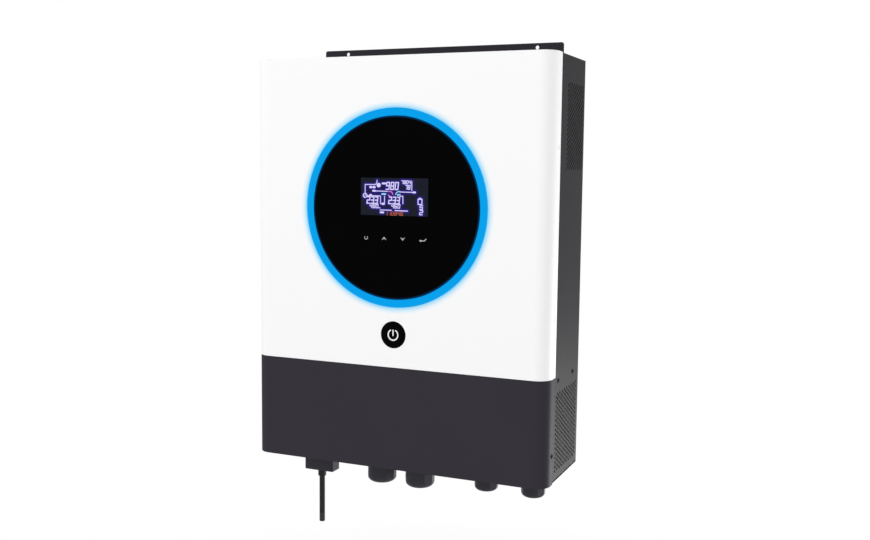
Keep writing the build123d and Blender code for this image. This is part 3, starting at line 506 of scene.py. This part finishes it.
class Strokes:
    """Flat rounded strokes in one plane that faces the front; places are millimetres from origin."""

    def __init__(self, origin, lift=None):
        self.origin = origin
        self.lift = lift                 # depth of the plane at (x, z), for a dished face
        self.points, self.faces, self.segments = [], [], []

    def polygon(self, corners):
        base = len(self.points)
        for x, z in corners:
            depth = self.lift(x, z) if self.lift else 0.0
            place = (self.origin.x + x * MM, self.origin.y + depth * MM, self.origin.z + z * MM)
            self.points.append(place)
        self.faces.append(tuple(range(base, base + len(corners))))

    def stroke(self, start, end, width):
        """Straight stroke with round ends."""
        self.segments.append((start, end, width))
        along = math.atan2(end[1] - start[1], end[0] - start[0])
        corners = []
        for place, turn in ((end, -90), (start, 90)):
            for step in range(7):
                angle = along + math.radians(turn + 30 * step)
                reach_x, reach_z = width / 2 * math.cos(angle), width / 2 * math.sin(angle)
                corners.append((place[0] + reach_x, place[1] + reach_z))
        self.polygon(corners)

    def line(self, places, width):
        for start, end in zip(places, places[1:]):
            self.stroke(start, end, width)

    def arc(self, centre, radius, start, end, width, steps=24):
        """Part of a ring; angles in degrees, anticlockwise."""
        turns = [math.radians(start + (end - start) * step / steps) for step in range(steps + 1)]
        edge = [[(centre[0] + r * math.cos(t), centre[1] + r * math.sin(t)) for t in turns]
                for r in (radius - width / 2, radius + width / 2)]
        for step in range(steps):
            self.polygon((edge[0][step], edge[1][step], edge[1][step + 1], edge[0][step + 1]))
        middle = [(centre[0] + radius * math.cos(t), centre[1] + radius * math.sin(t)) for t in turns[::4]]
        self.segments += [(a, b, width) for a, b in zip(middle, middle[1:])]

    def digits(self, text, centre, width, height, stroke):
        """Seven-segment digits; width is that of the whole group."""
        bars = {"a": ((0, 2), (1, 2)), "b": ((1, 2), (1, 1)), "c": ((1, 1), (1, 0)), "d": ((0, 0), (1, 0)),
                "e": ((0, 0), (0, 1)), "f": ((0, 1), (0, 2)), "g": ((0, 1), (1, 1))}
        lit = {"0": "abcdef", "1": "bc", "2": "abged", "3": "abgcd", "4": "fgbc", "5": "afgcd",
               "6": "afgedc", "7": "abc", "8": "abcdefg", "9": "abcdfg"}
        pitch = width / len(text)
        wide, tall = pitch * 0.62, height / 2
        for place, digit in enumerate(text):
            left = centre[0] - width / 2 + place * pitch + pitch * 0.19
            for bar in lit[digit]:
                ends = [
                    (left + x * wide + (z - 1) * tall * DIGIT_SLANT, centre[1] - tall + z * tall)
                    for x, z in bars[bar]
                ]
                self.stroke(*ends, stroke)

    def mesh(self, name):
        made = bpy.data.meshes.new(name)
        made.from_pydata(self.points, [], self.faces)
        work = bmesh.new()
        work.from_mesh(made)
        for face in work.faces:
            face.normal_update()
            if face.normal.y > 0:
                face.normal_flip()
        work.to_mesh(made)
        work.free()
        return made


LCD_SIZE = (98.0, 49.5)
LCD_Z = -0.2044
ICONS_Z = -0.2596
LCD_GRID = (196, 99)          # columns and rows of the backlight's grid
GLOW_SPREAD = 3.4             # mm squared; how far the backlight shows round a segment
LCD_CENTRE = Vector((0.0, glass_y - 0.03 * MM, LCD_Z))
SEGMENT_Y = glass_y - 0.05 * MM


def draw_solar_row(white):
    """Solar input, its lines and its digits along the top."""
    white.line([(-42.7, 3.6), (-42.7, 15.7), (-27.0, 15.9), (-25.5, 18.5), (-24.9, 21.7)], 1.1)
    white.arc((-22.7, 15.2), 1.5, 0, 360, 3.0)
    for x in (-34.2, -29.4):
        white.stroke((x - 0.7, 12.4), (x + 0.7, 12.4), 3.2)
    white.stroke((-17.0, 17.5), (-12.8, 17.5), 2.4)
    white.digits("980", (-2.6, 14.4), 19.5, 9.2, 1.5)
    white.digits("7804", (17.4, 19.5), 14.5, 4.0, 0.95)
    white.digits("78", (19.8, 13.0), 8.0, 5.2, 1.1)
    white.line([(25.6, 20.6), (25.6, 8.8)], 1.1)


def draw_links(white, cyan, pink):
    """Lines across the middle with the coloured arrows."""
    white.line([(-31.0, 7.6), (-27.0, 7.4), (-9.4, 7.1)], 1.1)
    white.stroke((-31.0, 7.6), (-28.0, 7.5), 2.4)
    white.line([(8.4, 6.7), (27.5, 6.5), (31.0, 6.5)], 1.1)
    white.stroke((27.8, 6.5), (30.6, 6.5), 2.4)
    pink.arc((-6.4, 2.6), 4.6, 5, 110, 1.4)
    pink.stroke((-8.5, 2.4), (-5.6, 0.6), 1.2)
    cyan.arc((7.6, 1.8), 5.4, 75, 170, 1.3)
    cyan.stroke((-17.4, 3.5), (-12.6, 3.5), 2.2)
    cyan.stroke((5.0, 2.6), (8.6, 3.2), 1.8)


def draw_load_rows(white):
    """Grid and load: their symbols, lines and digits."""
    white.arc((-42.7, 1.2), 2.7, 0, 360, 1.3)
    white.line([(-44.0, 0.0), (-41.4, 2.4)], 0.8)
    white.stroke((-35.4, 1.9), (-33.6, 1.9), 2.4)
    white.line([(-39.2, 0.9), (-19.8, 0.9), (-19.8, -9.4)], 1.1)
    white.digits("233", (-31.8, -4.8), 17.5, 8.6, 1.5)
    white.digits("480", (-29.4, -12.6), 13.5, 4.8, 1.1)
    white.stroke((-22.6, -14.8), (-20.6, -15.0), 1.2)
    white.line([(-13.9, 0.8), (-13.9, -7.6)], 1.1)
    white.stroke((-17.2, -9.4), (-14.6, -9.4), 2.8)
    white.digits("233", (0.2, -4.6), 17.5, 8.6, 1.5)
    white.line([(8.6, 1.2), (12.9, 1.2), (12.9, -8.6)], 1.1)
    white.digits("460", (2.6, -12.2), 13.5, 4.8, 1.1)


def draw_foot(white, orange):
    """Line of digits at the bottom and the battery at the right."""
    white.line([(-20.4, -17.6), (-3.6, -17.7)], 1.1)
    white.line([(1.5, -17.8), (19.8, -18.2)], 1.3)
    white.stroke((-19.6, -20.8), (-15.6, -20.8), 2.4)
    orange.digits("110846", (0.2, -22.0), 27.0, 4.2, 1.0)
    white.line([(34.8, -2.2), (40.4, -2.2), (40.4, -9.0), (34.8, -9.0), (34.8, -2.2)], 1.3)
    white.stroke((36.4, -0.9), (38.8, -0.9), 1.0)
    white.digits("5", (39.4, -13.0), 6.2, 4.6, 1.1)
    white.digits("2", (39.4, -19.6), 6.2, 5.6, 1.2)


def lcd_graphics():
    """Power-flow diagram with plain digits: solar at the top left, grid, load and battery."""
    origin = Vector((LCD_CENTRE.x, SEGMENT_Y, LCD_CENTRE.z))
    white, cyan, pink, orange = (Strokes(origin) for _ in range(4))
    draw_solar_row(white)
    draw_links(white, cyan, pink)
    draw_load_rows(white)
    draw_foot(white, orange)
    made = {
        "white": (white, lit_white), "cyan": (cyan, lit_cyan),
        "pink": (pink, lit_pink), "orange": (orange, lit_orange),
    }
    for name, (strokes, material) in made.items():
        add_piece(f"lcd_segments_{name}", strokes.mesh(name), material, "root")
    lcd_backlight(white.segments + cyan.segments + pink.segments)


def lcd_backlight(segments):
    """The LCD's face: a fine grid whose glow attribute fades away from the lit segments."""
    columns, rows = LCD_GRID
    x = np.linspace(-LCD_SIZE[0] / 2, LCD_SIZE[0] / 2, columns + 1)
    z = np.linspace(-LCD_SIZE[1] / 2, LCD_SIZE[1] / 2, rows + 1)
    grid_x, grid_z = np.meshgrid(x, z)
    nearest = np.full(grid_x.shape, 99.0)
    for (x1, z1), (x2, z2), width in segments:
        run = np.array((x2 - x1, z2 - z1))
        length = max(float(run @ run), 1e-9)
        part = np.clip(((grid_x - x1) * run[0] + (grid_z - z1) * run[1]) / length, 0, 1)
        away = np.hypot(grid_x - x1 - part * run[0], grid_z - z1 - part * run[1]) - width / 2
        nearest = np.minimum(nearest, away)
    glow = np.exp(-np.clip(nearest, 0, None) ** 2 / GLOW_SPREAD).ravel()
    points = [
        (LCD_CENTRE.x + a * MM, LCD_CENTRE.y, LCD_CENTRE.z + b * MM)
        for a, b in zip(grid_x.ravel(), grid_z.ravel())
    ]
    wide = columns + 1
    corners = [row * wide + column for row in range(rows) for column in range(columns)]
    faces = [(corner, corner + 1, corner + wide + 1, corner + wide) for corner in corners]
    mesh = bpy.data.meshes.new("lcd_backlight")
    mesh.from_pydata(points, [], faces)
    attribute = mesh.color_attributes.new("glow", "FLOAT_COLOR", "POINT")
    colours = np.repeat(glow, 4)
    colours[3::4] = 1.0
    attribute.data.foreach_set("color", colours.astype(np.float32))
    add_piece("lcd_backlight", mesh, lcd_face(), "root")


def touch_icons():
    """Four touch keys under the LCD: back, up, down, enter."""
    marks = Strokes(Vector((0.0, SEGMENT_Y, ICONS_Z)))
    marks.line([(-43.1, 1.4), (-43.1, 0.0)], 0.9)
    marks.arc((-41.0, 0.0), 2.1, 180, 360, 0.9)
    marks.line([(-38.9, 0.0), (-38.9, 1.4)], 0.9)
    for x, up in ((-14.2, 1), (13.0, -1)):
        marks.line([(x - 2.7, -1.6 * up), (x, 1.6 * up), (x + 2.7, -1.6 * up)], 0.8)
        marks.polygon([(x - 1.4, -0.9 * up), (x, 1.2 * up), (x + 1.4, -0.9 * up)])
    marks.stroke((38.4, -1.4), (39.4, -1.4), 2.4)
    marks.line([(39.0, -1.4), (44.6, -1.2), (46.6, 1.2)], 1.2)
    add_piece("touch_icons", marks.mesh("icons"), icon_grey, "root")


# ---- power button ----
DISH = 0.5                    # mm the button's face is dished
RIM = 2.5                     # mm of flat and rounded rim round the dish
RIM_R = 0.8


def dish_depth(x, z):
    """Depth behind the rim of the dished face, in mm."""
    reach = button_r / MM - RIM
    return DISH * (1 - min((x * x + z * z) / reach ** 2, 1.0))


def power_button():
    """Dished cap with a rounded rim, a groove behind it and the stem; the symbol sits on its face."""
    low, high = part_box("power_button")
    r = button_r / MM
    length = (high.y - low.y) / MM
    places = [step * (r - RIM) / 12 for step in range(13)]
    face = [(place, dish_depth(place, 0)) for place in places]
    turns = [math.radians(angle) for angle in range(0, 91, 15)]
    rim = [(r - RIM_R + RIM_R * math.sin(t), RIM_R - RIM_R * math.cos(t)) for t in turns]
    groove = [(r, 5.0), (r - 0.6, 5.0), (r - 0.6, 6.0), (r, 6.0)]
    body = groove + [(r, 6.7), (3.0, 6.7), (3.0, length), (0.0, length)]
    profile = [(a * MM, b * MM) for a, b in face + rim + body]
    mesh = lathe(profile, Vector((button_centre.x, low.y, button_centre.z)), Vector((0, 1, 0)))
    smooth(mesh, 32)
    slot = "black_plastic"
    add_piece("power_button_cap", mesh, materials[slot], "button", ["power_button"])
    symbol = Strokes(
        Vector((button_centre.x, button_y, button_centre.z)), lambda x, z: dish_depth(x, z) - 0.04
    )
    symbol.arc((0, 0), 7.1, 116, 424, 1.7, 64)
    for start, end in ((6.4, 4.4), (4.4, 2.4), (2.4, 0.4), (0.4, -0.7)):
        symbol.stroke((0, start), (0, end), 1.7)
    add_piece("power_symbol", symbol.mesh("symbol"), symbol_white, "button")


def return_spring():
    """The coil behind the button, a copy of the CAD node's mesh on the root body."""
    slot = slot_of["button_spring"]
    mesh = nodes["button_spring"].data.copy()
    mesh.name = "return_spring"
    coil = add_piece("return_spring", mesh, materials[slot], "root", ["button_spring"])
    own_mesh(coil)


# ---- CAD nodes carried over and refined ----
REFINED = {                   # rounding of the outer edges, in mm
    "front_cover": 0.35, "lower_cover": 0.35, "back_panel": 0.2, "wifi_module": 0.3, "top_panel": 0.3,
    "button_bezel": 0.3, "large_gland_bodies": 0.5, "small_gland_bodies": 0.5, "gland_seals": 0.5,
}
NUT_BEVEL = 0.6 * MM
REFINED_MOVING = {
    "large_gland_nut_1": "large_nut_1", "large_gland_nut_2": "large_nut_2",
    "small_gland_nut_1": "small_nut_1", "small_gland_nut_2": "small_nut_2",
}


def carry_nodes():
    """Every CAD node gets its slot's material and smooth shading; the outer ones get rounded edges."""
    for node, piece in nodes.items():
        piece.data.materials.clear()
        piece.data.materials.append(materials[slot_of[node]])
        smooth(piece.data, 30)
    nodes["antenna"].data.materials[0] = antenna_plastic()
    # near-black gland plate: painted shade for the shadow line at the bottom edge
    nodes["gland_plate"].data.materials[0] = plate_painted_shadow
    # darker copy of the case paint on the side panels: painted shade
    for node in ("left_side_panel", "right_side_panel"):
        nodes[node].data.materials[0] = side_paint_shaded
    for node, bevel in REFINED.items():
        refined(node, "root", bevel * MM)
    for node, body in REFINED_MOVING.items():
        refined(node, body, NUT_BEVEL)


# ---- studio ----
FLOOR_DROP = 0.45
FLOOR_REACH = 14.0
SHADOW_SHARE = 0.35            # how much of the floor's own shading the camera sees near the object


def white_to_eye(tree, path):
    """1 for camera, mirror and see-through rays, which find plain white."""
    either = tree.nodes.new("ShaderNodeMath")
    either.operation = "MAXIMUM"
    tree.links.new(path.outputs["Is Camera Ray"], either.inputs[0])
    tree.links.new(path.outputs["Is Glossy Ray"], either.inputs[1])
    both = tree.nodes.new("ShaderNodeMath")
    both.operation = "MAXIMUM"
    tree.links.new(either.outputs[0], both.inputs[0])
    tree.links.new(path.outputs["Is Transmission Ray"], both.inputs[1])
    return both.outputs[0]


def floor_material():
    """White to the eye; near the object part of its own shading stays, so that it keeps the shadow."""
    material = bpy.data.materials.new("floor_white")
    material.use_nodes = True
    tree = material.node_tree
    tree.nodes.clear()
    out = tree.nodes.new("ShaderNodeOutputMaterial")
    diffuse = tree.nodes.new("ShaderNodeBsdfDiffuse")
    diffuse.inputs["Color"].default_value = (0.9, 0.9, 0.9, 1.0)
    glow = tree.nodes.new("ShaderNodeEmission")
    path = tree.nodes.new("ShaderNodeLightPath")
    place = tree.nodes.new("ShaderNodeTexCoord")
    away = tree.nodes.new("ShaderNodeVectorMath")
    away.operation = "LENGTH"
    tree.links.new(place.outputs["Object"], away.inputs[0])
    near = tree.nodes.new("ShaderNodeMapRange")
    for key, value in {"From Min": 0.3, "From Max": 1.3, "To Min": 1 - SHADOW_SHARE, "To Max": 1.0}.items():
        near.inputs[key].default_value = value
    tree.links.new(away.outputs["Value"], near.inputs["Value"])
    share = tree.nodes.new("ShaderNodeMath")
    share.operation = "MULTIPLY"
    tree.links.new(near.outputs["Result"], share.inputs[0])
    tree.links.new(white_to_eye(tree, path), share.inputs[1])
    mix = tree.nodes.new("ShaderNodeMixShader")
    tree.links.new(share.outputs[0], mix.inputs[0])
    tree.links.new(diffuse.outputs[0], mix.inputs[1])
    tree.links.new(glow.outputs[0], mix.inputs[2])
    tree.links.new(mix.outputs[0], out.inputs["Surface"])
    return material


def make_floor():
    z = cad_box[0][2] - FLOOR_DROP
    mesh = bpy.data.meshes.new("floor")
    r = FLOOR_REACH
    mesh.from_pydata([(-r, -r, 0), (r, -r, 0), (r, r, 0), (-r, r, 0)], [], [(0, 1, 2, 3)])
    floor = bpy.data.objects.new("floor", mesh)
    floor.location = (0, 0, z)
    mesh.materials.append(floor_material())
    bpy.context.scene.collection.objects.link(floor)


WORLD_FILL = 0.58


def make_world():
    world = bpy.data.worlds.new("studio")
    bpy.context.scene.world = world
    world.use_nodes = True
    tree = world.node_tree
    tree.nodes.clear()
    out = tree.nodes.new("ShaderNodeOutputWorld")
    path = tree.nodes.new("ShaderNodeLightPath")
    backgrounds = []
    for strength in (WORLD_FILL, 1.0):
        background = tree.nodes.new("ShaderNodeBackground")
        background.inputs["Color"].default_value = (1.0, 1.0, 1.0, 1.0)
        background.inputs["Strength"].default_value = strength
        backgrounds.append(background)
    mix = tree.nodes.new("ShaderNodeMixShader")
    tree.links.new(white_to_eye(tree, path), mix.inputs[0])
    tree.links.new(backgrounds[0].outputs[0], mix.inputs[1])
    tree.links.new(backgrounds[1].outputs[0], mix.inputs[2])
    tree.links.new(mix.outputs[0], out.inputs["Surface"])


def area_light(name, place, target, size, power):
    data = bpy.data.lights.new(name, "AREA")
    data.shape = "RECTANGLE"
    data.size, data.size_y = size
    data.energy = power
    lamp = bpy.data.objects.new(name, data)
    lamp.location = place
    lamp.rotation_euler = (Vector(target) - Vector(place)).to_track_quat("-Z", "Y").to_euler()
    bpy.context.scene.collection.objects.link(lamp)


def make_lights():
    aim = (case_low + case_high) / 2
    low = Vector((case_high.x, aim.y, case_low.z + 0.12))
    area_light("key", aim + Vector((-2.2, -1.9, 1.4)), aim, (1.6, 1.6), 33.0)
    area_light("fill", aim + Vector((1.7, -1.9, 0.9)), aim, (1.6, 1.6), 16.0)
    area_light("side", low + Vector((0.42, 0.6, -0.3)), low, (0.4, 0.4), 6.0)


make_camera()
carry_nodes()
for node in ("front_cover_screws", "lower_cover_screws", "deck_screws"):
    screws(node)
lcd_graphics()
touch_icons()
power_button()
return_spring()
make_floor()
make_world()
make_lights()
bpy.context.scene.view_settings.view_transform = "Standard"
